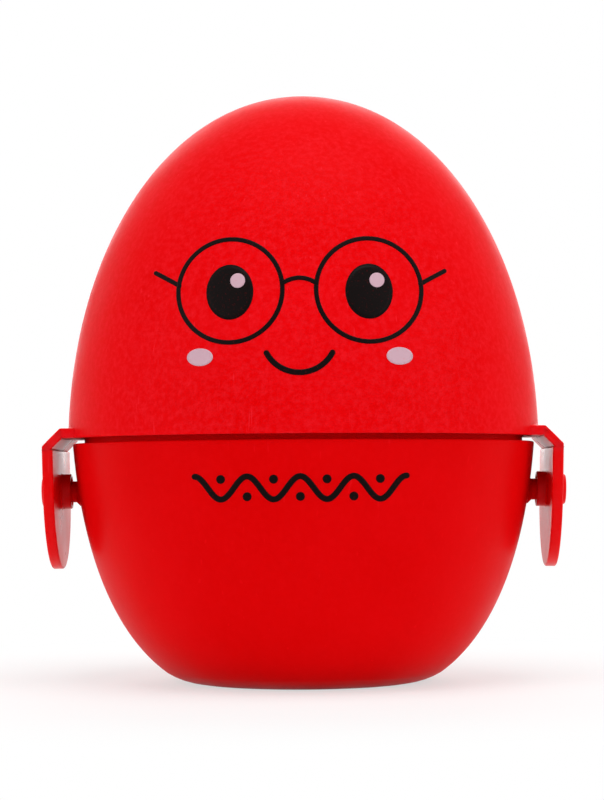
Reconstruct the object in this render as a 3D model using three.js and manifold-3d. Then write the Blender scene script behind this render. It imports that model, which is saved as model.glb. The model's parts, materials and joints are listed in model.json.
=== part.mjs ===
// An egg-shaped latching case: a flat-footed cup, a domed lid, and on each side a strap that hangs
// from the lid by two living hinges and snaps over a stud on the cup.
// Millimetres, +Z up, origin at the centre of the foot. The latches are on +X and -X.
import * as THREE from "three";
import { mergeVertices } from "three/addons/utils/BufferGeometryUtils.js";
import Module from "manifold-3d";

const wasm = await Module();
wasm.setup();

// The egg
const HEIGHT = 72;
const WALL = 1.6;
const LATHE_SIDES = 60;
const OUTER_STEPS = 12;
const INNER_STEPS = 10;

// Cup: the outline leaves the foot at an angle in degrees and reaches the rim nearly upright. The
// reaches are how far each end of an outline holds its own direction.
const FOOT_RADIUS = 14.9;
const FOOT_ANGLE = 27.3;
const FOOT_REACH = 9;
const RIM_STEP = 0.55;
const RIM_Z = 29.25;
const RIM_LEAN = 1.15;
const RIM_REACH = 14;
const FOOT_RECESS_RADIUS = 11.5;
const FOOT_RECESS = 0.5;

// Lip that stands up from the cup's rim inside the lid's mouth
const LIP_WALL = 1.2;
const LIP_HEIGHT = 3;
const LIP_LEAD_IN = 0.3;
const LIP_CLEARANCE = 0.3;

// Lid: the outline rises nearly upright and closes in a round crown
const PARTING_GAP = 0.65;
const LID_RADIUS = 28.9;
const LID_LEAN = 0.45;
const LID_REACH = 23.75;
const MOUTH_WALL = 1.7;
const CROWN_REACH = 16.3;
const STOP_LEDGE = 1.2;
const STOP_HEIGHT = 0.8;

// Latches
const LATCH_WIDTH = 19;
const FLANGE_THICKNESS = 1.15;
const LINK_DROP = 2.15;
const LINK_THICKNESS = 1.05;
const STRAP_THICKNESS = 1.3;
const STRAP_LEAN = 1.4;

// Films of the living hinges: how far each runs from its fold, and the gaps that the folds keep
const FILM_THICKNESS = 0.35;
const FILM_ON_FLANGE = 0.2;
const FILM_ON_LINK = 0.75;
const FILM_ON_STRAP = 0.45;
const FILM_GAP = 0.1;
const FOLD_GAP = 0.3;

// Stud on the cup and its socket in the strap
const STUD_DROP = 5.85;
const STUD_RADIUS = 1.3;
const SOCKET_CLEARANCE = 0.25;
const SOCKET_FLARE = 0.3;
const SOCKET_BOTTOM = 0.8;
const STUD_END_GAP = 0.9;
const BOSS_WALL = 0.6;
const BOSS_HEIGHT = 1.2;
const PAD_RADIUS = 1.85;
const PAD_HEIGHT = 1.1;
const ROUND_SIDES = 24;
const TAB_ARC_STEPS = 24;
const DOME_STEPS = 5;

// How far a cutting tool runs past the face it cuts, and a joined piece into its neighbour
const PAST = 1;
const SUNK = 0.3;

// Points of a profile keep this far apart in height, and vertices nearer than the weld are one
const APART = 0.3;
const WELD = 1e-3;

// Worked out from the sizes above
const lidZ = RIM_Z + PARTING_GAP;
const rimRadius = LID_RADIUS - RIM_STEP;
const mouthRadius = LID_RADIUS - MOUTH_WALL;
const lipRadius = mouthRadius - LIP_CLEARANCE;
const lipInnerRadius = lipRadius - LIP_WALL;
const lipTopZ = RIM_Z + LIP_HEIGHT;
const floorZ = FOOT_RECESS + WALL;
const flangeTopZ = lidZ + FLANGE_THICKNESS;
const upperFold = new THREE.Vector2(LID_RADIUS + FILM_ON_FLANGE, flangeTopZ);
const lowerFold = new THREE.Vector2(upperFold.x + LINK_DROP, upperFold.y - LINK_DROP);
const strapTopZ = lowerFold.y - FILM_ON_STRAP;
const strapOuterX = lowerFold.x;
const strapInnerX = strapOuterX - STRAP_THICKNESS;
const studZ = RIM_Z - STUD_DROP;
const bossX = strapInnerX - BOSS_HEIGHT;
const socketRadius = STUD_RADIUS + SOCKET_CLEARANCE;
const socketEndX = strapOuterX + PAD_HEIGHT - SOCKET_BOTTOM;
const studEndX = socketEndX - STUD_END_GAP;

const slope = new THREE.Vector2(1, -1).normalize(); // down the link's outer face
const inward = new THREE.Vector2(-1, -1).normalize(); // from its outer face to its inner one

// A closed three.js geometry as a solid that can be joined and cut.
function solidOf(geometry) {
  const bare = geometry.clone();
  bare.deleteAttribute("normal");
  bare.deleteAttribute("uv");
  const merged = mergeVertices(bare, WELD);
  const corners = merged.index.array;
  const triangles = [];
  for (let i = 0; i < corners.length; i += 3) {
    const [a, b, c] = corners.slice(i, i + 3);
    if (a !== b && b !== c && c !== a) triangles.push(a, b, c);
  }
  const mesh = new wasm.Mesh({
    numProp: 3,
    vertProperties: merged.attributes.position.array,
    triVerts: Uint32Array.from(triangles),
  });
  return new wasm.Manifold(mesh);
}

function geometryOf(solid) {
  const mesh = solid.getMesh();
  const geometry = new THREE.BufferGeometry();
  geometry.setAttribute("position", new THREE.BufferAttribute(mesh.vertProperties, 3));
  geometry.setIndex(new THREE.BufferAttribute(mesh.triVerts, 1));
  geometry.computeVertexNormals();
  return geometry;
}

// A solid turned about +Z from a profile of (radius, height) points that starts and ends on the axis.
function turned(profile) {
  const points = profile.map(([radius, z]) => new THREE.Vector2(radius, z));
  return solidOf(new THREE.LatheGeometry(points, LATHE_SIDES).rotateX(Math.PI / 2));
}

// A round bar along +X from one x to another at the stud's height.
function roundBar(startX, endX, startRadius, endRadius = startRadius) {
  const bar = new THREE.CylinderGeometry(startRadius, endRadius, endX - startX, ROUND_SIDES);
  return solidOf(bar.rotateZ(Math.PI / 2).translate((startX + endX) / 2, 0, studZ));
}

// An outline of (x, z) points, as wide as the latch along Y.
function acrossLatch(points) {
  const outline = new THREE.Shape(points);
  const bar = new THREE.ExtrudeGeometry(outline, { depth: LATCH_WIDTH, bevelEnabled: false });
  return bar.rotateX(Math.PI / 2).translate(0, LATCH_WIDTH / 2, 0);
}

// Both copies of what is on the +X side, as solids.
function onBothSides(solid) {
  return [solid, solid.rotate([0, 0, 180])];
}

// Points along a curve, moved in from it by a depth.
function pointsInside(curve, steps, depth) {
  return Array.from({ length: steps + 1 }, (_, i) => {
    const at = curve.getPointAt(i / steps);
    const along = curve.getTangentAt(i / steps);
    return [Math.max(at.x - along.y * depth, 0), at.y + along.x * depth];
  });
}

// The radius of a rising profile at a height.
function radiusAt(profile, z) {
  const above = profile.findIndex((point) => point[1] > z);
  const [lowRadius, lowZ] = profile[above - 1];
  const [highRadius, highZ] = profile[above];
  return lowRadius + ((highRadius - lowRadius) * (z - lowZ)) / (highZ - lowZ);
}

function cupOutline() {
  const angle = THREE.MathUtils.degToRad(FOOT_ANGLE);
  return new THREE.CubicBezierCurve(
    new THREE.Vector2(FOOT_RADIUS, 0),
    new THREE.Vector2(FOOT_RADIUS + FOOT_REACH * Math.cos(angle), FOOT_REACH * Math.sin(angle)),
    new THREE.Vector2(rimRadius - RIM_LEAN, RIM_Z - RIM_REACH),
    new THREE.Vector2(rimRadius, RIM_Z),
  );
}

function lidOutline() {
  return new THREE.CubicBezierCurve(
    new THREE.Vector2(LID_RADIUS, lidZ),
    new THREE.Vector2(LID_RADIUS - LID_LEAN, lidZ + LID_REACH),
    new THREE.Vector2(CROWN_REACH, HEIGHT),
    new THREE.Vector2(0, HEIGHT),
  );
}

function cupCavity() {
  const inner = pointsInside(cupOutline(), INNER_STEPS, WALL);
  const lipFootZ = RIM_Z - WALL;
  const wallRadius = radiusAt(inner, lipFootZ - WALL);
  const coneZ = lipFootZ - (wallRadius - lipInnerRadius);
  return turned([
    [0, floorZ],
    [radiusAt(inner, floorZ), floorZ],
    ...inner.filter(([, z]) => z > floorZ && z < coneZ - APART),
    [radiusAt(inner, coneZ), coneZ],
    [lipInnerRadius, lipFootZ],
    [lipInnerRadius, lipTopZ + PAST],
    [0, lipTopZ + PAST],
  ]);
}

// A stud is a round bar with a domed end, rooted in the cup's wall.
function stud() {
  const rootX = lipInnerRadius - WALL;
  const domeX = studEndX - STUD_RADIUS;
  const bar = new THREE.CapsuleGeometry(STUD_RADIUS, domeX - rootX, DOME_STEPS, ROUND_SIDES);
  return solidOf(bar.rotateZ(Math.PI / 2).translate((rootX + domeX) / 2, 0, studZ));
}

function lowerShell() {
  const body = turned([
    [0, 0],
    ...pointsInside(cupOutline(), OUTER_STEPS, 0),
    [lipRadius, RIM_Z],
    [lipRadius, lipTopZ - LIP_LEAD_IN],
    [lipRadius - LIP_LEAD_IN, lipTopZ],
    [0, lipTopZ],
  ]);
  const recess = turned([
    [0, -PAST],
    [FOOT_RECESS_RADIUS, -PAST],
    [FOOT_RECESS_RADIUS, FOOT_RECESS],
    [0, FOOT_RECESS],
  ]);
  const [rightStud, leftStud] = onBothSides(stud());
  return body.add(rightStud).add(leftStud).subtract(cupCavity()).subtract(recess);
}

// Inside, the lid is cut back at its mouth for the cup's lip, and a stop rib above rests on the lip.
function lidCavity() {
  const inner = pointsInside(lidOutline(), INNER_STEPS, WALL);
  const ribRadius = mouthRadius - STOP_LEDGE;
  const ribTopZ = lipTopZ + STOP_HEIGHT;
  const coneZ = ribTopZ + radiusAt(inner, ribTopZ) - ribRadius;
  return turned([
    [0, lidZ - PAST],
    [mouthRadius, lidZ - PAST],
    [mouthRadius, lipTopZ],
    [ribRadius, lipTopZ],
    [ribRadius, ribTopZ],
    [radiusAt(inner, coneZ), coneZ],
    ...inner.filter(([, z]) => z > coneZ + APART),
  ]);
}

// The flange ends flush with the widest part of the lid, and the film carries on to the fold.
function flange() {
  return solidOf(
    acrossLatch([
      new THREE.Vector2(0, lidZ),
      new THREE.Vector2(LID_RADIUS, lidZ),
      new THREE.Vector2(LID_RADIUS, flangeTopZ),
      new THREE.Vector2(0, flangeTopZ),
    ]),
  );
}

function upperShell() {
  const dome = turned([[0, lidZ], ...pointsInside(lidOutline(), OUTER_STEPS, 0)]);
  const [rightFlange, leftFlange] = onBothSides(flange());
  return dome.add(rightFlange).add(leftFlange).subtract(lidCavity());
}

// The bar between the two folds, at 45 degrees. Its ends run alongside the flange's end and the
// strap's top, and are stepped back under the films.
function link() {
  const at = (along, depth) =>
    upperFold.clone().addScaledVector(slope, along).addScaledVector(inward, depth);
  const besideFlange = (depth) => {
    const along = (LID_RADIUS + FOLD_GAP - at(0, depth).x) / slope.x;
    return at(along, depth);
  };
  const aboveStrap = (depth) => {
    const along = (strapTopZ + FOLD_GAP - at(0, depth).y) / slope.y;
    return at(along, depth);
  };
  const start = FILM_ON_LINK + FILM_GAP;
  const end = upperFold.distanceTo(lowerFold) - start;
  const step = FILM_THICKNESS + FILM_GAP;
  return acrossLatch([
    at(start, 0),
    at(end, 0),
    at(end, step),
    aboveStrap(step),
    aboveStrap(LINK_THICKNESS),
    besideFlange(LINK_THICKNESS),
    besideFlange(step),
    at(start, step),
  ]);
}

// A thin film round the outside of a fold, from the end of the level or upright piece beside it to
// just short of the link. Each way is a direction from the fold.
function film(fold, way, reach, insideWay, linkWay) {
  const end = fold.clone().addScaledVector(way, reach);
  const linkEnd = fold.clone().addScaledVector(linkWay, FILM_ON_LINK);
  const corner = way.clone().add(linkWay).normalize();
  corner.multiplyScalar(FILM_THICKNESS / Math.abs(corner.cross(way)));
  return acrossLatch([
    end,
    fold,
    linkEnd,
    linkEnd.clone().addScaledVector(inward, FILM_THICKNESS),
    fold.clone().add(corner),
    end.clone().addScaledVector(insideWay, FILM_THICKNESS),
  ]);
}

function upperFilm() {
  const [back, down] = [new THREE.Vector2(-1, 0), new THREE.Vector2(0, -1)];
  return film(upperFold, back, FILM_ON_FLANGE, down, slope);
}

function lowerFilm() {
  const [back, down] = [new THREE.Vector2(-1, 0), new THREE.Vector2(0, -1)];
  return film(lowerFold, down, FILM_ON_STRAP, back, slope.clone().negate());
}

// The strap as it is drawn, straight down: a plate that ends in a half circle about the stud.
function strapPlate() {
  const half = LATCH_WIDTH / 2;
  const outline = new THREE.Shape();
  outline.moveTo(-half, strapTopZ + SUNK);
  outline.lineTo(-half, studZ);
  outline.absarc(0, studZ, half, Math.PI, 2 * Math.PI);
  outline.lineTo(half, strapTopZ + SUNK);
  const plate = new THREE.ExtrudeGeometry(outline, {
    depth: STRAP_THICKNESS,
    bevelEnabled: false,
    curveSegments: TAB_ARC_STEPS,
  });
  const alongX = new THREE.Matrix4().makeBasis(
    new THREE.Vector3(0, 1, 0),
    new THREE.Vector3(0, 0, 1),
    new THREE.Vector3(1, 0, 0),
  );
  return solidOf(plate.applyMatrix4(alongX).translate(strapInnerX, 0, 0));
}

// It is drawn upright, leans in about the lower fold by an angle in degrees, and is cut level on top.
function strap() {
  const boss = roundBar(bossX, strapInnerX + SUNK, socketRadius + BOSS_WALL);
  const pad = roundBar(strapOuterX - SUNK, strapOuterX + PAD_HEIGHT, PAD_RADIUS);
  const bore = roundBar(bossX - PAST, socketEndX, socketRadius);
  const flareRadius = socketRadius + SOCKET_FLARE + PAST;
  const flare = roundBar(bossX - PAST, bossX + SOCKET_FLARE, flareRadius, socketRadius);
  const upright = strapPlate().add(boss).add(pad).subtract(bore).subtract(flare);
  const leaning = upright
    .translate([-lowerFold.x, 0, -lowerFold.y])
    .rotate([0, STRAP_LEAN, 0])
    .translate([lowerFold.x, 0, lowerFold.y]);
  return geometryOf(leaning.trimByPlane([0, 0, -1], -strapTopZ));
}

const colours = {
  cup: 0xd80509,
  lid: 0xe00f1a,
  latch: 0xdd1318,
};

function piece(name, geometry, colour, turnedRound = false) {
  const material = new THREE.MeshStandardMaterial({ color: colour, roughness: 0.45, metalness: 0 });
  const mesh = new THREE.Mesh(geometry, material);
  mesh.name = name;
  mesh.rotation.z = turnedRound ? Math.PI : 0;
  return mesh;
}

// The latch is alike across Y, so half a turn about the egg's axis puts it on the other side.
function latch(side) {
  const group = new THREE.Group();
  const isLeft = side === "left";
  group.add(piece(`${side}_upper_film`, upperFilm(), colours.latch, isLeft));
  group.add(piece(`${side}_link`, link(), colours.latch, isLeft));
  group.add(piece(`${side}_lower_film`, lowerFilm(), colours.latch, isLeft));
  group.add(piece(`${side}_strap`, strap(), colours.latch, isLeft));
  return group;
}

const egg = new THREE.Group();
egg.add(piece("lower_shell", geometryOf(lowerShell()), colours.cup));
egg.add(piece("upper_shell", geometryOf(upperShell()), colours.lid));
egg.add(latch("right"));
egg.add(latch("left"));

export default egg;
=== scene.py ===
"""An egg-shaped latching case in satin red plastic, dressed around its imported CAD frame.

Metres, +Z up, origin at the centre of the foot; the printed front faces -Y and the latches are on X.
"""

import json
import math

import bmesh
import bpy
from mathutils import Matrix, Vector


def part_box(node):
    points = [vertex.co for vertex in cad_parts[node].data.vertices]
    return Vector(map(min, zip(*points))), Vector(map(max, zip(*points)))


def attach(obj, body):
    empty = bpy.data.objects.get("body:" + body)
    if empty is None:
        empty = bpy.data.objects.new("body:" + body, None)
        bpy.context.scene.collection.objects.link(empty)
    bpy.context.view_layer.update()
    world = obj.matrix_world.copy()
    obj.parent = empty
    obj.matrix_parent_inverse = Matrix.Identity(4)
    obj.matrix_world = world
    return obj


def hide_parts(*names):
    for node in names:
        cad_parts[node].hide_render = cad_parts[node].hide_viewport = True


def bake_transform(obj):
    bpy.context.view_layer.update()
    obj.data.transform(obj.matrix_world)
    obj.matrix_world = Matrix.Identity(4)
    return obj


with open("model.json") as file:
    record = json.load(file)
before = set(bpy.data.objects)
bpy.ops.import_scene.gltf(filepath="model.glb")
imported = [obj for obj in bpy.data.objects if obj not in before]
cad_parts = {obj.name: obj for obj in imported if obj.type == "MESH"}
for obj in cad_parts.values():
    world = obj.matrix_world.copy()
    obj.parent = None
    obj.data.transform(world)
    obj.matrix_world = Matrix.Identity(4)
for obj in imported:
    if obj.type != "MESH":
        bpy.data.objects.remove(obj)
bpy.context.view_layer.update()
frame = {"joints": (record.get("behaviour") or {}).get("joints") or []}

MM = 0.001

# ---------------------------------------------------------------- sizes

# Read from the frame
cup_low, cup_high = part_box("lower_shell")
lid_low, lid_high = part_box("upper_shell")
strap_low, strap_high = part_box("right_strap")
joints = {joint["name"]: joint for joint in frame["joints"]}

HEIGHT = lid_high.z
LID_Z = lid_low.z
LID_RADIUS = lid_high.y
RIM_RADIUS = cup_high.y
LIP_TOP = cup_high.z
STUD_END = cup_high.x
LATCH_WIDTH = strap_high.y - strap_low.y
HALF_WIDTH = LATCH_WIDTH / 2
STRAP_TOP = strap_high.z
UPPER_FOLD = Vector((joints["right_link_fold"]["pos_m"][0], joints["right_link_fold"]["pos_m"][2]))
LOWER_FOLD = Vector((joints["right_strap_fold"]["pos_m"][0], joints["right_strap_fold"]["pos_m"][2]))

# The shells' outlines: reaches are how far each end of an outline holds its own direction
WALL = 1.6 * MM
PARTING_GAP = 0.65 * MM
RIM_Z = LID_Z - PARTING_GAP
FOOT_RADIUS = 14.9 * MM
FOOT_ANGLE = math.radians(27.3)
FOOT_REACH = 9 * MM
RIM_LEAN = 1.15 * MM
RIM_REACH = 14 * MM
LID_LEAN = 0.45 * MM
LID_REACH = 23.75 * MM
CROWN_REACH = 16.3 * MM
FOOT_RECESS_RADIUS = 11.5 * MM
FOOT_RECESS = 0.5 * MM

# Lip, and the stop rib in the lid that rests on it
MOUTH_RADIUS = LID_RADIUS - 1.7 * MM
LIP_RADIUS = MOUTH_RADIUS - 0.3 * MM
LIP_INNER = LIP_RADIUS - 1.2 * MM
LIP_FOOT = RIM_Z - WALL
RIB_RADIUS = MOUTH_RADIUS - 1.2 * MM
RIB_TOP = LIP_TOP + 0.8 * MM

# Latches
FLANGE_TOP = UPPER_FOLD.y
STRAP_OUTER = LOWER_FOLD.x
STRAP_THICKNESS = 1.3 * MM
STRAP_INNER = STRAP_OUTER - STRAP_THICKNESS
STRAP_LEAN = math.radians(1.4)
LINK_THICKNESS = 1.05 * MM
FILM_THICKNESS = 0.35 * MM
FILM_ON_LINK = 0.75 * MM
STUD_Z = RIM_Z - 5.85 * MM
STUD_RADIUS = 1.3 * MM
SOCKET_RADIUS = STUD_RADIUS + 0.25 * MM
BOSS_RADIUS = SOCKET_RADIUS + 0.6 * MM
BOSS_X = STRAP_INNER - 1.2 * MM
PAD_RADIUS = 1.85 * MM
PAD_X = STRAP_OUTER + 1.1 * MM
SOCKET_END = PAD_X - 0.8 * MM

# Roundings: the latches' edges, then a shell's crisp edges, its rim, its softer corners, and the
# corner where its inside starts to narrow
EDGE = 0.2 * MM
CRISP = 0.1 * MM
RIM_EDGE = 0.22 * MM
SOFT = 0.3 * MM
INNER_CORNER = 0.8 * MM

# Light levels
AMBIENT = 0.42
KEY_WATTS = 1.5
FILL_WATTS = 1.15
BACK_WATTS = 1.0

# Steps: round the egg, along its outline, round a small circle, across a latch and in a rounding
TURN_STEPS = 192
CURVE_STEPS = 56
ROUND_STEPS = 48
WIDTH_STEPS = 24
ARC_STEPS = 5

# The angle from which an edge is shaded sharp, how near points are welded, and where the rings on the
# strap's flat faces lie between its middle and its edge
SHARP = math.radians(38)
WELD = 0.0002 * MM
FLAT_SHARES = (0.03, 0.3, 0.65, 0.97)


# ---------------------------------------------------------------- outlines

def bezier(p0, p1, p2, p3, steps):
    """Points and unit tangents of a cubic curve of (radius, z) pairs."""
    ends = [Vector(p) for p in (p0, p1, p2, p3)]
    found = []
    for i in range(steps + 1):
        t = i / steps
        u = 1 - t
        weights = (u**3, 3 * u * u * t, 3 * u * t * t, t**3)
        slopes = (-u * u, u * u - 2 * u * t, 2 * u * t - t * t, t * t)
        point = sum((w * p for w, p in zip(weights, ends)), Vector((0, 0)))
        along = sum((s * p for s, p in zip(slopes, ends)), Vector((0, 0)))
        found.append((point, along.normalized()))
    return found


def inside(curve, depth):
    """The curve's points moved in from the surface by a depth, as (radius, z)."""
    return [(max(p.x - d.y * depth, 0), p.y + d.x * depth) for p, d in curve]


def quarter(steps=ARC_STEPS):
    """The sine and cosine at even steps over a quarter turn."""
    angles = [math.pi / 2 * k / steps for k in range(steps + 1)]
    return [(math.sin(a), math.cos(a)) for a in angles]


def at_height(profile, z):
    """The radius of a rising profile at a height."""
    for (r0, z0), (r1, z1) in zip(profile, profile[1:]):
        if z0 <= z <= z1:
            return r0 + (r1 - r0) * (z - z0) / (z1 - z0)
    return profile[-1][0]


CUP_CURVE = bezier(
    (FOOT_RADIUS, 0),
    (FOOT_RADIUS + FOOT_REACH * math.cos(FOOT_ANGLE), FOOT_REACH * math.sin(FOOT_ANGLE)),
    (RIM_RADIUS - RIM_LEAN, RIM_Z - RIM_REACH),
    (RIM_RADIUS, RIM_Z),
    CURVE_STEPS,
)
LID_CURVE = bezier(
    (LID_RADIUS, LID_Z),
    (LID_RADIUS - LID_LEAN, LID_Z + LID_REACH),
    (CROWN_REACH, HEIGHT),
    (0, HEIGHT),
    CURVE_STEPS,
)
CUP_OUTER = inside(CUP_CURVE, 0)
LID_OUTER = inside(LID_CURVE, 0)


def rounded(corners):
    """A polyline from (x, y) entries, with an arc at each corner that is given as (x, y, radius)."""
    points = []
    for i, corner in enumerate(corners):
        here = Vector(corner[:2])
        radius = corner[2] if len(corner) > 2 else 0
        if not radius:
            points.append(here)
            continue
        back = (Vector(corners[i - 1][:2]) - here).normalized()
        ahead = (Vector(corners[(i + 1) % len(corners)][:2]) - here).normalized()
        half = math.acos(max(-1, min(1, back.dot(ahead)))) / 2
        start = here + back * (radius / math.tan(half))
        centre = here + (back + ahead).normalized() * (radius / math.sin(half))
        turn = (math.pi - 2 * half) * (1 if back.cross(ahead) < 0 else -1)
        spoke = start - centre
        for k in range(ARC_STEPS + 1):
            angle = turn * k / ARC_STEPS
            c, s = math.cos(angle), math.sin(angle)
            points.append(centre + Vector((c * spoke.x - s * spoke.y, s * spoke.x + c * spoke.y)))
    return points


# ---------------------------------------------------------------- mesh makers

def finished(name, bm, material, body, slot, *nodes):
    """A smooth-shaded object of a bmesh, riding on a body and standing for the CAD nodes."""
    bmesh.ops.remove_doubles(bm, verts=bm.verts, dist=WELD)
    bmesh.ops.recalc_face_normals(bm, faces=bm.faces)
    mesh = bpy.data.meshes.new(name)
    bm.to_mesh(mesh)
    bm.free()
    mesh.shade_smooth()
    mesh.set_sharp_from_angle(angle=SHARP)
    mesh.materials.append(material)
    piece = bpy.data.objects.new(name, mesh)
    bpy.context.scene.collection.objects.link(piece)
    if nodes:
        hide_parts(*nodes)
    if body:
        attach(piece, body)
    return piece


def add_rings(bm, rings, closed_round=True):
    """Quads between rings of equal length. A ring of one point is a pole."""
    made = [[bm.verts.new(point) for point in ring] for ring in rings]
    for one, two in zip(made, made[1:]):
        count = max(len(one), len(two))
        for i in range(count if closed_round else count - 1):
            j = (i + 1) % count
            corners = [one[i % len(one)], one[j % len(one)], two[j % len(two)], two[i % len(two)]]
            bm.faces.new(list(dict.fromkeys(corners)))
    return made


def turned(bm, profile):
    """The surface of (radius, z) points turned about the Z axis."""
    on_axis = 1e-7
    angles = [2 * math.pi * i / TURN_STEPS for i in range(TURN_STEPS)]
    rings = []
    for radius, z in profile:
        if radius < on_axis:
            rings.append([(0, 0, z)])
        else:
            rings.append([(radius * math.cos(a), radius * math.sin(a), z) for a in angles])
    add_rings(bm, rings)


def on_side(side, point):
    """A point on the +X side, or turned half round the egg's axis to the -X side."""
    return (side * point[0], side * point[1], point[2])


# ---------------------------------------------------------------- materials

def new_material(name):
    """A material, its nodes and links, and its principled shader."""
    material = bpy.data.materials.new(name)
    material.use_nodes = True
    nodes, links = material.node_tree.nodes, material.node_tree.links
    return material, nodes, links, nodes["Principled BSDF"]


def noise(nodes, links, where, scale, detail=2.0, roughness=0.5):
    """Cloudy noise from 0 to 1. The scale is in waves to a metre."""
    node = nodes.new("ShaderNodeTexNoise")
    node.inputs["Scale"].default_value = scale
    node.inputs["Detail"].default_value = detail
    node.inputs["Roughness"].default_value = roughness
    links.new(where, node.inputs["Vector"])
    return node.outputs["Fac"]


def spread(nodes, links, value, low, high, to_low, to_high):
    """A value carried from the range low to high into the range to_low to to_high, and clamped there."""
    node = nodes.new("ShaderNodeMapRange")
    for socket, number in (("From Min", low), ("From Max", high), ("To Min", to_low), ("To Max", to_high)):
        node.inputs[socket].default_value = number
    links.new(value, node.inputs["Value"])
    return node.outputs["Result"]


def mixed(nodes, links, factor, one, two):
    """A colour between two: each is a colour or a socket."""
    node = nodes.new("ShaderNodeMix")
    node.data_type = "RGBA"
    links.new(factor, node.inputs["Factor"])
    for socket, colour in (("A", one), ("B", two)):
        target = next(s for s in node.inputs if s.name == socket and s.type == "RGBA")
        if isinstance(colour, bpy.types.NodeSocket):
            links.new(colour, target)
        else:
            target.default_value = (*colour, 1)
    return next(s for s in node.outputs if s.type == "RGBA")


def plastic_colour(nodes, links, where, colour, cloud, scuff, mottle):
    """A red with clouds of a slightly paler one, paler specks, a few short scratches and worn edges."""
    cloud_scale, speck_scale, scratch_scale = 95, 1500, 2400
    scratched, most_worn = 0.6, 0.35
    clouds = spread(nodes, links, noise(nodes, links, where, cloud_scale, 4, 0.6), 0.35, 0.7, 0, 1)
    base = mixed(nodes, links, clouds, colour, cloud)
    specks = spread(nodes, links, noise(nodes, links, where, speck_scale, 4, 0.7), 0.42, 0.72, 0, mottle)
    base = mixed(nodes, links, specks, base, scuff)
    streaked = nodes.new("ShaderNodeMapping")
    streaked.inputs["Rotation"].default_value = (0.5, 0.9, 0.3)
    streaked.inputs["Scale"].default_value = (1, 1, 0.08)
    links.new(where, streaked.inputs["Vector"])
    scratches = noise(nodes, links, streaked.outputs["Vector"], scratch_scale, 1)
    base = mixed(nodes, links, spread(nodes, links, scratches, 0.72, 0.78, 0, scratched), base, scuff)
    edges = nodes.new("ShaderNodeNewGeometry").outputs["Pointiness"]
    worn = spread(nodes, links, edges, 0.53, 0.62, 0, most_worn)
    return mixed(nodes, links, worn, base, scuff)


def bump(nodes, links, height, strength, depth, under=None):
    """A bump of a depth from a height, laid over another bump if one is given."""
    node = nodes.new("ShaderNodeBump")
    node.inputs["Strength"].default_value = strength
    node.inputs["Distance"].default_value = depth
    links.new(height, node.inputs["Height"])
    if under:
        links.new(under, node.inputs["Normal"])
    return node.outputs["Normal"]


def red_plastic(name, colour, cloud, scuff, mottle, gloss=0.02, rough=0.4, glow=0.12):
    """Moulded satin polypropylene, with a fine spark-eroded grain over slight waves."""
    patch_scale, grain_scale, wave_scale = 140, 3000, 260
    uneven = 0.05
    material, nodes, links, shader = new_material(name)
    where = nodes.new("ShaderNodeTexCoord").outputs["Object"]
    base = plastic_colour(nodes, links, where, colour, cloud, scuff, mottle)
    links.new(base, shader.inputs["Base Color"])
    patches = noise(nodes, links, where, patch_scale, 3)
    satin = spread(nodes, links, patches, 0.3, 0.7, rough - uneven, rough + uneven)
    links.new(satin, shader.inputs["Roughness"])
    shader.inputs["Specular IOR Level"].default_value = gloss
    shader.inputs["Specular Tint"].default_value = (1, 0.4, 0.45, 1)
    shader.inputs["Subsurface Weight"].default_value = glow
    shader.inputs["Subsurface Radius"].default_value = (2.0 * MM, 0.3 * MM, 0.3 * MM)
    shader.inputs["Subsurface Scale"].default_value = 1.0
    grain = bump(nodes, links, noise(nodes, links, where, grain_scale, 3, 0.65), 0.6, 0.02 * MM)
    waves = bump(nodes, links, noise(nodes, links, where, wave_scale, 2), 0.3, 0.08 * MM, grain)
    links.new(waves, shader.inputs["Normal"])
    return material


def pad_ink(name, colour, worn_colour):
    """Pad-printed ink: nearly even, with pinholes where the grain under it shows."""
    pinhole_scale, patch_scale, grain_scale = 3400, 700, 3800
    material, nodes, links, shader = new_material(name)
    where = nodes.new("ShaderNodeTexCoord").outputs["Object"]
    pinholes = spread(nodes, links, noise(nodes, links, where, pinhole_scale, 2, 0.7), 0.6, 0.78, 0, 0.5)
    links.new(mixed(nodes, links, pinholes, colour, worn_colour), shader.inputs["Base Color"])
    shader.inputs["Specular IOR Level"].default_value = 0.05
    patches = noise(nodes, links, where, patch_scale, 2)
    links.new(spread(nodes, links, patches, 0.3, 0.7, 0.38, 0.5), shader.inputs["Roughness"])
    grain = bump(nodes, links, noise(nodes, links, where, grain_scale, 3, 0.65), 0.2, 0.01 * MM)
    links.new(grain, shader.inputs["Normal"])
    return material


LID_RED = red_plastic("lid_red", (0.79, 0.001, 0.002), (0.82, 0.002, 0.004), (0.9, 0.018, 0.03), 0.45)
CUP_RED = red_plastic("cup_red", (0.74, 0.0005, 0.001), (0.77, 0.001, 0.002), (0.84, 0.006, 0.01), 0.2)
LATCH_RED = red_plastic(
    "latch_red", (0.78, 0.001, 0.0015), (0.81, 0.002, 0.003), (0.86, 0.02, 0.03), 0.2, 0.12, 0.3, 0.35
)
BLACK_INK = pad_ink("print_black", (0.004, 0.002, 0.002), (0.1, 0.002, 0.003))
PALE_INK = pad_ink("print_grey", (0.62, 0.4, 0.47), (0.7, 0.2, 0.24))


# ---------------------------------------------------------------- shells

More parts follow.
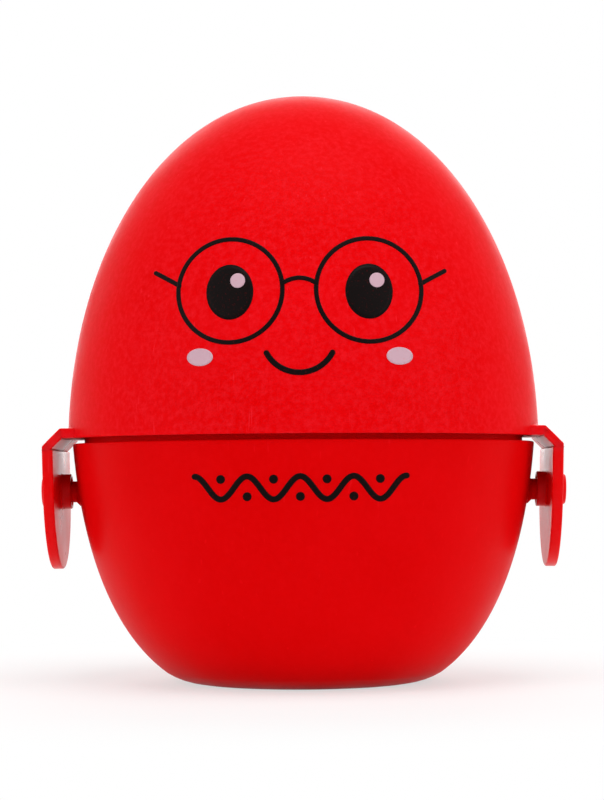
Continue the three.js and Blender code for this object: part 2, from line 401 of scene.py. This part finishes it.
def stud_rings(side):
    """Rings of a stud about its own axis, from inside the wall, with a flared root, to a domed end."""
    wall_x = at_height(CUP_OUTER, STUD_Z)
    dome_x = STUD_END - STUD_RADIUS
    root_depth = 0.6 * MM
    flare, flare_depth = 0.45 * MM, 0.1 * MM
    profile = [(wall_x - root_depth, STUD_RADIUS + flare)]
    profile += [(wall_x + flare * s - flare_depth, STUD_RADIUS + flare * (1 - s)) for s, _ in quarter()]
    profile += [(dome_x + STUD_RADIUS * s, STUD_RADIUS * c) for s, c in quarter(2 * ARC_STEPS)]
    rings = [[on_side(side, (profile[0][0], 0, STUD_Z))]]
    for x, radius in profile[:-1]:
        ring = []
        for i in range(ROUND_STEPS):
            angle = 2 * math.pi * i / ROUND_STEPS
            ring.append(on_side(side, (x, radius * math.cos(angle), STUD_Z + radius * math.sin(angle))))
        rings.append(ring)
    rings.append([on_side(side, (STUD_END, 0, STUD_Z))])
    return rings


def cup():
    """The cup: its gate mark and recess below, the lip at its rim, its inside, and the two studs."""
    gate_radius, gate_taper, gate_depth = 1.1 * MM, 0.2 * MM, 0.15 * MM
    foot_edge, recess_edge = 8 * MM, 0.15 * MM
    lead_in, lip_inner_edge, lip_foot_edge, floor_edge = 0.3 * MM, 0.2 * MM, 0.6 * MM, 1.2 * MM
    lip_corner = 0.12 * MM
    above_foot, below_rim, above_floor, below_cone = 1.0 * MM, 0.3 * MM, 0.8 * MM, 0.5 * MM
    floor_reach = 0.2 * MM
    inner = inside(CUP_CURVE, WALL)
    floor_z = FOOT_RECESS + WALL
    cone_z = LIP_FOOT - (at_height(inner, LIP_FOOT - WALL) - LIP_INNER)
    wall_inside = [p for p in inner if floor_z + above_floor < p[1] < cone_z - below_cone]
    outline = rounded(
        [
            (0, FOOT_RECESS - gate_depth),
            (gate_radius, FOOT_RECESS - gate_depth, CRISP),
            (gate_radius + gate_taper, FOOT_RECESS, CRISP),
            (FOOT_RECESS_RADIUS, FOOT_RECESS, SOFT),
            (FOOT_RECESS_RADIUS, 0, recess_edge),
            (FOOT_RADIUS, 0, foot_edge),
            *[p for p in CUP_OUTER if above_foot < p[1] < RIM_Z - below_rim],
            (RIM_RADIUS, RIM_Z, RIM_EDGE),
            (LIP_RADIUS, RIM_Z, lip_corner),
            (LIP_RADIUS, LIP_TOP - lead_in),
            (LIP_RADIUS - lead_in, LIP_TOP, CRISP),
            (LIP_INNER, LIP_TOP, lip_inner_edge),
            (LIP_INNER, LIP_FOOT, lip_foot_edge),
            (at_height(inner, cone_z), cone_z, INNER_CORNER),
            *reversed(wall_inside),
            (at_height(inner, floor_z) + floor_reach, floor_z, floor_edge),
            (0, floor_z),
        ]
    )
    bm = bmesh.new()
    turned(bm, outline)
    for side in (1, -1):
        add_rings(bm, stud_rings(side))
    finished("cup", bm, CUP_RED, "cup", "cup_red", "lower_shell")


def lid():
    """The lid: its dome, its mouth, the stop rib and the inside above it, and the two flanges."""
    rib_edge = 0.2 * MM
    above_mouth, above_cone = 0.3 * MM, 0.8 * MM
    inner = inside(LID_CURVE, WALL)
    cone_z = RIB_TOP + at_height(inner, RIB_TOP) - RIB_RADIUS
    outline = rounded(
        [
            (0, HEIGHT),
            *[p for p in reversed(LID_OUTER) if p[1] > LID_Z + above_mouth and p[0] > 0],
            (LID_RADIUS, LID_Z, RIM_EDGE),
            (MOUTH_RADIUS, LID_Z, SOFT),
            (MOUTH_RADIUS, LIP_TOP, CRISP),
            (RIB_RADIUS, LIP_TOP, rib_edge),
            (RIB_RADIUS, RIB_TOP, SOFT),
            (at_height(inner, cone_z), cone_z, INNER_CORNER),
            *[p for p in inner if p[1] > cone_z + above_cone and p[0] > 0],
            (0, HEIGHT - WALL),
        ]
    )
    bm = bmesh.new()
    turned(bm, outline)
    for side in (1, -1):
        across(bm, flange_section, side)
    finished("lid", bm, LID_RED, "lid", "lid_red", "upper_shell")


def stations():
    """Places across the latch's width, each with how far its faces are drawn in to round its ends."""
    ends = [(HALF_WIDTH - EDGE * (1 - c), EDGE * (1 - s)) for s, c in reversed(quarter())]
    inner = HALF_WIDTH - EDGE
    middle = [(-inner + 2 * inner * i / WIDTH_STEPS, 0) for i in range(1, WIDTH_STEPS)]
    return [(-y, drawn) for y, drawn in ends[::-1]] + middle + ends


def across(bm, section, side, width=1.0):
    """A bar across the latch. Its section gives the (x, z) points at a y, for how far the faces there
    are drawn in."""
    rings = []
    for y, drawn in stations():
        rings.append([on_side(side, (x, y * width, z)) for x, z in section(y, drawn)])
    made = add_rings(bm, rings)
    bm.faces.new(made[0])
    bm.faces.new(made[-1])


def flange_section(y, drawn):
    """The lid's flange: its inner edge lies in the wall and runs up it in a small fillet, which fades
    towards the flange's ends."""
    full_fillet, least_fillet, fade, fillet_share = 0.5 * MM, 0.02 * MM, 2 * MM, 0.6
    buried, sunk, short = 0.5 * MM, 0.04 * MM, 0.01 * MM
    wall_x = math.sqrt(LID_RADIUS**2 - y * y)
    ease = min(1, (HALF_WIDTH - abs(y)) / fade)
    fillet = min(full_fillet, fillet_share * (LID_RADIUS - wall_x)) * ease + least_fillet
    top, bottom = FLANGE_TOP - drawn, LID_Z + drawn
    points = [(wall_x - buried, bottom), (LID_RADIUS, bottom), (LID_RADIUS, top)]
    for s, c in quarter():
        x = wall_x - sunk + fillet * (1 - s)
        points.append((min(x, LID_RADIUS - short), top + fillet * (1 - c)))
    return [*points, (wall_x - buried, top + fillet)]


# ---------------------------------------------------------------- latches

# The way down the shut link, and the way into it, as (x, z)
SLOPE = Vector((1, -1)).normalized()
INWARD = Vector((-1, -1)).normalized()


def leaning(point):
    """A point of the strap turned in about the lower fold, as the strap leans towards the cup."""
    x, y, z = point
    c, s = math.cos(STRAP_LEAN), math.sin(STRAP_LEAN)
    x, z = x - LOWER_FOLD.x, z - LOWER_FOLD.y
    return (LOWER_FOLD.x + x * c + z * s, y, LOWER_FOLD.y - x * s + z * c)


def link(side, name):
    """The bar between the folds. Its ends lie against the flange and the strap while it is shut."""
    step = 0.3 * MM
    end = (LOWER_FOLD - UPPER_FOLD).length - FILM_ON_LINK

    def at(along, depth):
        return UPPER_FOLD + SLOPE * along + INWARD * depth

    def beside_flange(depth):
        return at((LID_RADIUS - at(0, depth).x) / SLOPE.x, depth)

    def above_strap(depth):
        return at((STRAP_TOP - at(0, depth).y) / SLOPE.y, depth)

    def section(_, drawn):
        deep = LINK_THICKNESS - drawn
        outer = [at(FILM_ON_LINK, drawn), at(end, drawn), at(end, step), above_strap(step)]
        return [*outer, above_strap(deep), beside_flange(deep), beside_flange(step), at(FILM_ON_LINK, step)]

    bm = bmesh.new()
    across(bm, section, side)
    finished(name, bm, LATCH_RED, name, "latch_red", name)


def film(side, name, fold, way, reach, link_way):
    """A living hinge: a thin film round the outside of a fold, let into the pieces on both sides."""
    sunk, narrower = 0.01 * MM, 0.01 * MM
    buried, bend_radius, step = 0.35 * MM, 0.35 * MM, 0.12 * MM
    start = fold + way * (reach + buried)
    end = fold + link_way * (FILM_ON_LINK + buried)
    corners = rounded([tuple(start), (*fold, bend_radius), tuple(end)])
    path = []
    for one, two in zip(corners, corners[1:]):
        parts = max(1, round((two - one).length / step))
        path += [one.lerp(two, k / parts) for k in range(parts)]
    path.append(corners[-1])
    normals = []
    for before, after in zip([path[0], *path], [*path[1:], path[-1]]):
        along = (after - before).normalized()
        normal = Vector((along.y, -along.x))
        normals.append(normal if normal.dot(INWARD) > 0 else -normal)

    def section(_, drawn):
        outer = [p + n * (sunk + drawn) for p, n in zip(path, normals)]
        inner = [p + n * FILM_THICKNESS for p, n in zip(path, normals)]
        return outer + inner[::-1]

    bm = bmesh.new()
    across(bm, section, side, width=1 - narrower / HALF_WIDTH)
    piece = finished(name, bm, LATCH_RED, None, "latch_red", name)
    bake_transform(piece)


def strap_outline(drawn):
    """The strap's edge about the stud as (y, z): flat on top, with straight sides, and round below."""
    side_steps = 6
    half, top = HALF_WIDTH - drawn, STRAP_TOP - STUD_Z - drawn
    points = [(half - 2 * half * i / WIDTH_STEPS, top) for i in range(WIDTH_STEPS)]
    points += [(-half, top * (1 - i / side_steps)) for i in range(side_steps)]
    angles = [math.pi * i / ROUND_STEPS for i in range(ROUND_STEPS)]
    points += [(-half * math.cos(a), -half * math.sin(a)) for a in angles]
    points += [(half, top * i / side_steps) for i in range(side_steps)]
    return points


def on_circle(outline, radius):
    """An outline's (y, z) points brought in, each along its own spoke, to a circle about the stud."""
    return [(y / math.hypot(y, z) * radius, z / math.hypot(y, z) * radius) for y, z in outline]


def circle_ring(x, radius):
    """A round ring of the strap's pad, boss or socket."""
    return [(x, y, STUD_Z + z) for y, z in on_circle(strap_outline(0), radius)]


def edge_ring(x, drawn):
    """A ring round the strap's edge, drawn in by a distance."""
    return [(x, y, STUD_Z + z) for y, z in strap_outline(drawn)]


def flat_ring(x, radius, share):
    """A ring on a flat face of the strap, a share of the way from a circle to the rounded edge."""
    outline = strap_outline(EDGE)
    ring = []
    for (y, z), (edge_y, edge_z) in zip(on_circle(outline, radius), outline):
        ring.append((x, y + (edge_y - y) * share, STUD_Z + (z + (edge_z - z) * share)))
    return ring


def pad_rings():
    """The strap's outside: the pad with a shallow dimple, then the flat face."""
    dimple, dimple_floor, dimple_edge = 0.08 * MM, 0.35 * MM, 0.5 * MM
    rounding, root = 0.25 * MM, 0.15 * MM
    rings = [[(PAD_X - dimple, 0, STUD_Z)]]
    rings += [circle_ring(PAD_X - dimple, dimple_floor), circle_ring(PAD_X, dimple_edge)]
    for s, c in quarter():
        rings.append(circle_ring(PAD_X - rounding * (1 - c), PAD_RADIUS - rounding * (1 - s)))
    rings.append(circle_ring(STRAP_OUTER, PAD_RADIUS + root))
    return rings + [flat_ring(STRAP_OUTER, PAD_RADIUS + root, share) for share in FLAT_SHARES]


def boss_rings():
    """The strap's inside: the flat face, then the boss with a filleted foot, and the flared socket."""
    foot, rounding, flare = 0.25 * MM, 0.12 * MM, 0.3 * MM
    rings = [flat_ring(STRAP_INNER, BOSS_RADIUS + foot, share) for share in FLAT_SHARES[::-1]]
    for s, c in quarter():
        rings.append(circle_ring(STRAP_INNER - foot * (1 - c), BOSS_RADIUS + foot * (1 - s)))
    for s, c in quarter():
        rings.append(circle_ring(BOSS_X + rounding * (1 - s), BOSS_RADIUS - rounding * (1 - c)))
    rings += [circle_ring(BOSS_X, SOCKET_RADIUS + flare), circle_ring(BOSS_X + flare, SOCKET_RADIUS)]
    rings.append(circle_ring(SOCKET_END - flare, SOCKET_RADIUS))
    rings.append(circle_ring(SOCKET_END, SOCKET_RADIUS - flare))
    rings.append([(SOCKET_END, 0, STUD_Z)])
    return rings


def strap(side, name):
    """The strap: one closed surface of rings about the stud's axis, from the pad on its outside, over
    its rounded edge, to the boss and the blind socket on its inside."""
    over_edge = [edge_ring(STRAP_OUTER - EDGE * (1 - c), EDGE * (1 - s)) for s, c in quarter()]
    over_edge += [edge_ring(STRAP_INNER + EDGE * (1 - s), EDGE * (1 - c)) for s, c in quarter()]
    rings = pad_rings() + over_edge + boss_rings()
    bm = bmesh.new()
    add_rings(bm, [[on_side(side, leaning(point)) for point in ring] for ring in rings])
    finished(name, bm, LATCH_RED, name, "latch_red", name)


def latch(side, word):
    """One latch: the link, the strap, and a film at each of its two folds."""
    film_on_flange, film_on_strap = 0.2 * MM, 0.45 * MM
    link_body, strap_body = f"{word}_link", f"{word}_strap"
    link(side, link_body)
    strap(side, strap_body)
    level, down = Vector((-1, 0)), Vector((0, -1))
    film(side, f"{word}_upper_film", UPPER_FOLD, level, film_on_flange, SLOPE)
    film(side, f"{word}_lower_film", LOWER_FOLD, down, film_on_strap, -SLOPE)


# ---------------------------------------------------------------- print

def on_shell(outline, x, z, proud):
    """The point in front of (x, z) on a shell's outside, held off it by a distance."""
    radius = at_height(outline, z) + proud
    return (x, -math.sqrt(max(radius * radius - x * x, 0)), z)


def oval(centre_x, centre_z, half_width, half_height):
    """Rings of a filled oval from its centre out, as (x, z)."""
    count = 6
    angles = [math.tau * i / ROUND_STEPS for i in range(ROUND_STEPS)]
    rings = [[(centre_x, centre_z)]]
    for k in range(1, count + 1):
        across_by, up_by = half_width * k / count, half_height * k / count
        rings.append([(centre_x + across_by * math.cos(a), centre_z + up_by * math.sin(a)) for a in angles])
    return rings


def ribbon(path, width, closed=False):
    """A line of a width along (x, z) points, with round ends where it isn't closed."""
    points = [Vector(p) for p in path]
    count = len(points)
    rows = []
    for i, point in enumerate(points):
        before = points[i - 1] if closed or i else point
        after = points[(i + 1) % count] if closed or i < count - 1 else point
        along = (after - before).normalized()
        normal = Vector((-along.y, along.x))
        rows.append([point + normal * width / 2 * share for share in (-1, -0.5, 0, 0.5, 1)])
    if closed:
        return rows + [rows[0]]
    first_way, last_way = (points[0] - points[1]).normalized(), (points[-1] - points[-2]).normalized()
    first_cap = round_cap(points[0], rows[0], first_way, width / 2)
    last_cap = round_cap(points[-1], rows[-1], last_way, width / 2)
    return first_cap[::-1] + rows + last_cap


def round_cap(end, row, way, radius):
    """Rows that carry a line's last row on in a half circle. The last one keeps a little width."""
    least = 0.05
    caps = []
    for s, c in quarter(4)[1:]:
        narrow = max(c, least)
        caps.append([end + (p - end) * narrow + way * (s * radius) for p in row])
    return caps


def printed(name, outline, patches, material, slot, body, proud):
    """Ink on a shell: thin closed layers that follow it. A patch is an oval's rings or a ribbon's rows."""
    bm = bmesh.new()
    for patch in patches:
        is_oval = len(patch[0]) == 1
        rings = [[on_shell(outline, p[0], p[1], proud) for p in row] for row in patch]
        add_rings(bm, rings, closed_round=is_oval)
    piece = finished(name, bm, material, body, slot)
    layer = piece.modifiers.new("ink", "SOLIDIFY")
    layer.thickness = INK_THICKNESS
    layer.offset = -1


def curve_points(shape, start, end, steps):
    """A shape's points at even steps of what it is a function of."""
    return [shape(start + (end - start) * i / steps) for i in range(steps + 1)]


INK_LINE = 0.52 * MM
INK_PROUD = 0.025 * MM
INK_THICKNESS = 0.05 * MM
LENS_X, LENS_Z, LENS_RADIUS = 7.9 * MM, 46.2 * MM, 6.0 * MM
SMILE_Z, SMILE_RADIUS = 40.9 * MM, 4.2 * MM


def bridge(t):
    """The spectacles' bridge: a slight arch from one lens to the other as t goes from -1 to 1."""
    rise, sag = 1.3 * MM, 0.6 * MM
    return ((LENS_X - LENS_RADIUS) * t, LENS_Z + rise - sag * t * t)


def smile(angle):
    """The smile: an arc about a point between the cheeks, by its angle from straight down."""
    return (SMILE_RADIUS * math.sin(angle), SMILE_Z - SMILE_RADIUS * math.cos(angle))


def half_face(side):
    """What lies on one side of the face: the ink lines, the eye, its highlight and the cheek."""

    def lens(angle):
        return (side * LENS_X + LENS_RADIUS * math.cos(angle), LENS_Z + LENS_RADIUS * math.sin(angle))

    near = Vector((side * (LENS_X + LENS_RADIUS - 0.1 * MM), LENS_Z + 0.8 * MM))
    far = near + Vector((side * 2.9 * MM, 1.7 * MM))
    rim = ribbon(curve_points(lens, 0, math.tau, steps=96)[:-1], INK_LINE, closed=True)
    arm = ribbon(curve_points(lambda t: near.lerp(far, t), 0, 1, steps=12), INK_LINE)
    eye = oval(side * LENS_X, LENS_Z - 0.2 * MM, 2.7 * MM, 3.2 * MM)
    highlight = oval(side * LENS_X + 0.9 * MM, LENS_Z + 1.1 * MM, 0.85 * MM, 0.85 * MM)
    cheek = oval(side * (LENS_X + 3.4 * MM), LENS_Z - 7.6 * MM, 1.5 * MM, 1.0 * MM)
    return [rim, arm], eye, highlight, cheek


def face():
    """A plain smiling face: round spectacles, oval eyes, cheeks and a simple smile."""
    smile_half, smile_line = math.radians(62), INK_LINE * 1.25
    lines, eyes, highlights, cheeks = [], [], [], []
    for side in (-1, 1):
        rim_and_arm, eye, highlight, cheek = half_face(side)
        lines += rim_and_arm
        eyes.append(eye)
        highlights.append(highlight)
        cheeks.append(cheek)
    lines.append(ribbon(curve_points(bridge, -1, 1, steps=24), INK_LINE))
    lines.append(ribbon(curve_points(smile, -smile_half, smile_half, steps=40), smile_line))
    printed("face_lines", LID_OUTER, lines + eyes, BLACK_INK, "print_black", "lid", INK_PROUD)
    printed("eye_lights", LID_OUTER, highlights, PALE_INK, "print_grey", "lid", 2 * INK_PROUD)
    printed("cheeks", LID_OUTER, cheeks, PALE_INK, "print_grey", "lid", INK_PROUD)


def ornament():
    """A wavy line with a dot in each hollow, across the cup's front."""
    half, swing, z, waves = 12 * MM, 1.3 * MM, 23.8 * MM, 4
    line, dot = 1.3 * INK_LINE, 0.5 * MM
    dot_off = 0.75 * swing

    def wave(t):
        return (half * t, z + swing * math.cos(math.pi * waves * t))

    patches = [ribbon(curve_points(wave, -1, 1, steps=160), line)]
    for i in range(-waves + 1, waves):
        away = -dot_off if i % 2 == 0 else dot_off
        patches.append(oval(half * i / waves, z + away, dot, dot))
    printed("wave_band", CUP_OUTER, patches, BLACK_INK, "print_black", "cup", INK_PROUD)


# ---------------------------------------------------------------- stage, lights, camera

def floor():
    """A white floor. Seen by the camera, by glossy surfaces and through glass, it is part lit and part
    backdrop white near the object, and all backdrop white further out."""
    near, far, least_white = 0.6 * HEIGHT, 1.1 * HEIGHT, 0.6
    half_size = 3
    material, nodes, links, shader = new_material("floor_white")
    shader.inputs["Base Color"].default_value = (0.95, 0.95, 0.95, 1)
    shader.inputs["Roughness"].default_value = 0.9
    distance = nodes.new("ShaderNodeVectorMath")
    distance.operation = "LENGTH"
    links.new(nodes.new("ShaderNodeTexCoord").outputs["Object"], distance.inputs[0])
    fade = nodes.new("ShaderNodeMapRange")
    fade.interpolation_type = "SMOOTHSTEP"
    fade.inputs["From Min"].default_value = near
    fade.inputs["From Max"].default_value = far
    fade.inputs["To Min"].default_value = least_white
    links.new(distance.outputs["Value"], fade.inputs["Value"])
    whiteness = nodes.new("ShaderNodeMath")
    whiteness.operation = "MULTIPLY"
    links.new(fade.outputs["Result"], whiteness.inputs[0])
    links.new(background_rays(nodes, links), whiteness.inputs[1])
    white = nodes.new("ShaderNodeEmission")
    mix = nodes.new("ShaderNodeMixShader")
    links.new(whiteness.outputs[0], mix.inputs["Fac"])
    links.new(shader.outputs["BSDF"], mix.inputs[1])
    links.new(white.outputs["Emission"], mix.inputs[2])
    links.new(mix.outputs["Shader"], nodes["Material Output"].inputs["Surface"])
    bm = bmesh.new()
    bmesh.ops.create_grid(bm, x_segments=1, y_segments=1, size=half_size)
    mesh = bpy.data.meshes.new("floor")
    bm.to_mesh(mesh)
    bm.free()
    mesh.materials.append(material)
    piece = bpy.data.objects.new("floor", mesh)
    bpy.context.scene.collection.objects.link(piece)


def background_rays(nodes, links):
    """1 for the rays that show the background: the camera's, glossy ones and those through glass."""
    path = nodes.new("ShaderNodeLightPath")
    found = path.outputs["Is Camera Ray"]
    for ray in ("Is Glossy Ray", "Is Transmission Ray"):
        either = nodes.new("ShaderNodeMath")
        either.operation = "MAXIMUM"
        links.new(found, either.inputs[0])
        links.new(path.outputs[ray], either.inputs[1])
        found = either.outputs[0]
    return found


def softbox(name, place, width, height, watts):
    """A rectangular lamp that faces the middle of the object."""
    aim = Vector((0, 0, HEIGHT / 2))
    light = bpy.data.lights.new(name, "AREA")
    light.shape = "RECTANGLE"
    light.size, light.size_y = width, height
    light.energy = watts
    lamp = bpy.data.objects.new(name, light)
    lamp.location = place
    lamp.rotation_euler = (aim - Vector(place)).to_track_quat("-Z", "Y").to_euler()
    bpy.context.scene.collection.objects.link(lamp)


def lights():
    """A soft lamp above, one at each side and one behind, and a white world that lights more dimly than
    it looks."""
    softbox("key_above", (0.04, -0.13, 0.54), 0.45, 0.3, KEY_WATTS)
    softbox("fill_left", (-0.56, -0.33, 0.15), 0.4, 0.5, FILL_WATTS)
    softbox("fill_right", (0.56, -0.33, 0.15), 0.4, 0.5, FILL_WATTS)
    softbox("fill_back", (0, 0.5, 0.22), 0.45, 0.4, BACK_WATTS)
    world = bpy.data.worlds.new("studio")
    bpy.context.scene.world = world
    world.use_nodes = True
    nodes, links = world.node_tree.nodes, world.node_tree.links
    background = nodes["Background"]
    strength = nodes.new("ShaderNodeMapRange")
    strength.inputs["To Min"].default_value = AMBIENT
    strength.inputs["To Max"].default_value = 1.0
    links.new(background_rays(nodes, links), strength.inputs["Value"])
    background.inputs["Color"].default_value = (1, 1, 1, 1)
    links.new(strength.outputs["Result"], background.inputs["Strength"])


def camera():
    """A long lens 300 mm in front of the egg's axis, below the egg's middle and tilted up at it."""
    turn, tilt, roll = (math.radians(angle) for angle in (0.8, 1.94, -0.36))
    distance, aside, height = 300 * MM, -0.14 * MM, 24.4 * MM
    lens = bpy.data.cameras.new("camera")
    lens.sensor_width = 36
    lens.lens = 109.35
    lens.clip_start = 0.01
    view = bpy.data.objects.new("camera", lens)
    rightwards = Vector((math.cos(turn), math.sin(turn)))
    forwards = Vector((-math.sin(turn), math.cos(turn)))
    place = rightwards * aside - forwards * distance
    view.location = (place.x, place.y, height)
    view.rotation_mode = "XYZ"
    facing = Matrix.Rotation(turn, 3, "Z") @ Matrix.Rotation(math.pi / 2 + tilt, 3, "X")
    view.rotation_euler = (facing @ Matrix.Rotation(roll, 3, "Z")).to_euler()
    bpy.context.scene.collection.objects.link(view)
    bpy.context.scene.camera = view
    bpy.context.scene.view_settings.view_transform = "Standard"


cup()
lid()
latch(1, "right")
latch(-1, "left")
face()
ornament()
floor()
lights()
camera()
